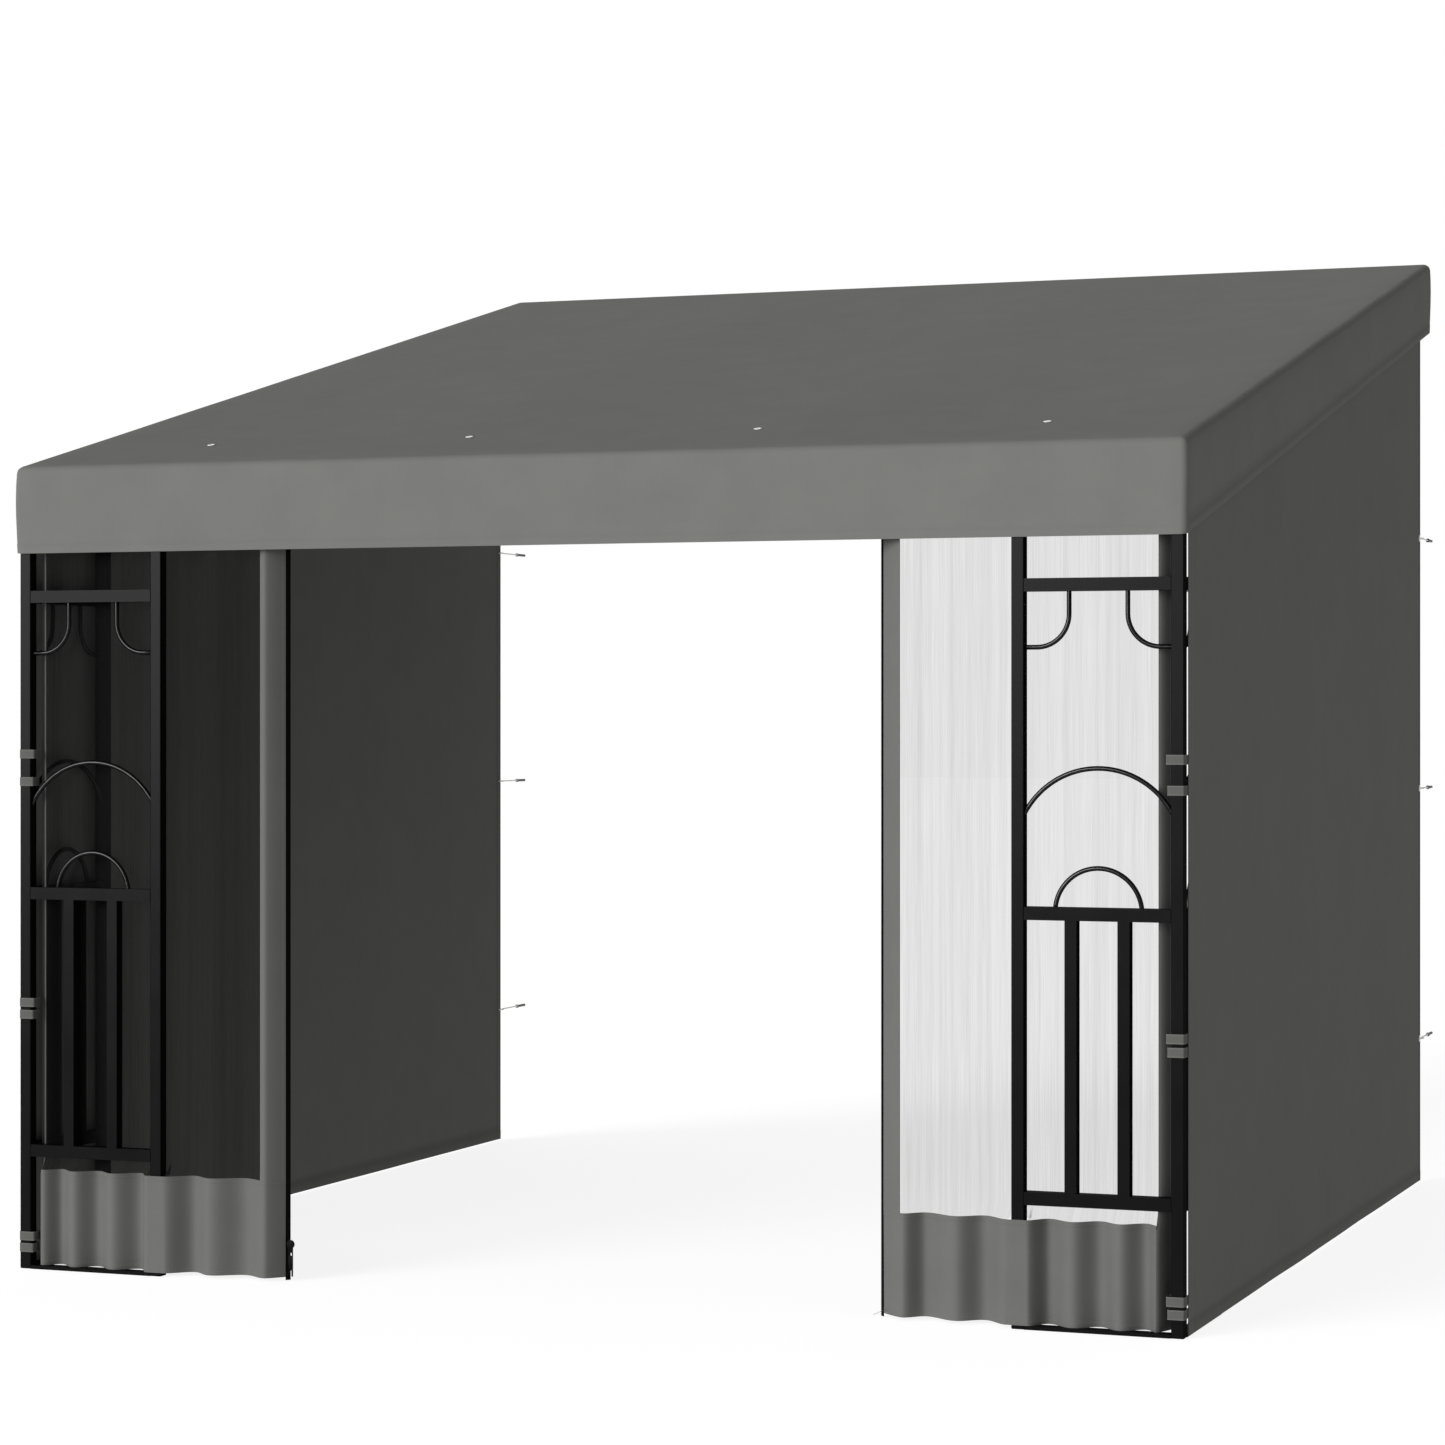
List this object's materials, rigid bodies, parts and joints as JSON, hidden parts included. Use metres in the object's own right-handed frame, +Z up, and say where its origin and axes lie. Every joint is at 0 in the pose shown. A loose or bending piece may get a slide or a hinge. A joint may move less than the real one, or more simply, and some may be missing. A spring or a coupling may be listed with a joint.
{
  "type": "wall pergola",
  "caption": "Lean-to wall pergola: square-tube frame on two L-shaped lattice corners, sloping cloth roof with valances, side curtains and netted front doors.",
  "frame": {"origin": "middle of the wall rail's back face, in the plane of the wall", "axes": "+X right along the wall as seen from the garden, +Y into the wall, +Z up"},
  "size_m": [3.0152, 3.1585, 2.7397],
  "materials": {
    "frame": "satin black powder coat",
    "canopy_cloth": "woven polyester, grey, coated underneath",
    "curtain_cloth": "woven polyester, dark grey",
    "netting": "fine black mesh, see-through",
    "net_cloth": "woven polyester, grey",
    "zip": "moulded black plastic",
    "webbing": "grey polyester webbing",
    "bright_metal": "zinc plated steel",
    "plug": "grey nylon"
  },
  "bodies": {
    "root": {"wall_rail": "frame", "front_beam": "frame", "left_rafter": "frame", "right_rafter": "frame", "middle_rafters": "frame", "purlins": "frame", "left_corner_post": "frame", "right_corner_post": "frame", "left_inner_post": "frame", "right_inner_post": "frame", "left_side_post": "frame", "right_side_post": "frame", "left_front_lattice": "frame", "right_front_lattice": "frame", "left_side_lattice": "frame", "right_side_lattice": "frame", "left_front_scrolls": "frame", "right_front_scrolls": "frame", "left_side_scrolls": "frame", "right_side_scrolls": "frame", "base_bars": "frame", "roof_cloth": "canopy_cloth", "front_valance": "canopy_cloth", "left_valance": "canopy_cloth", "right_valance": "canopy_cloth", "drain_eyelets": "bright_metal", "left_curtain": "curtain_cloth", "right_curtain": "curtain_cloth", "curtain_eyelets": "bright_metal", "curtain_loops": "webbing", "left_wall_hooks": "bright_metal", "right_wall_hooks": "bright_metal", "wall_plugs": "plug", "left_net": "netting", "right_net": "netting", "left_net_hem": "net_cloth", "right_net_hem": "net_cloth", "net_headings": "net_cloth", "left_skirt": "net_cloth", "right_skirt": "net_cloth", "zips": "zip", "zip_slider": "zip", "net_loops": "webbing", "left_straps": "webbing", "right_straps": "webbing"}
  },
  "joints": []
}
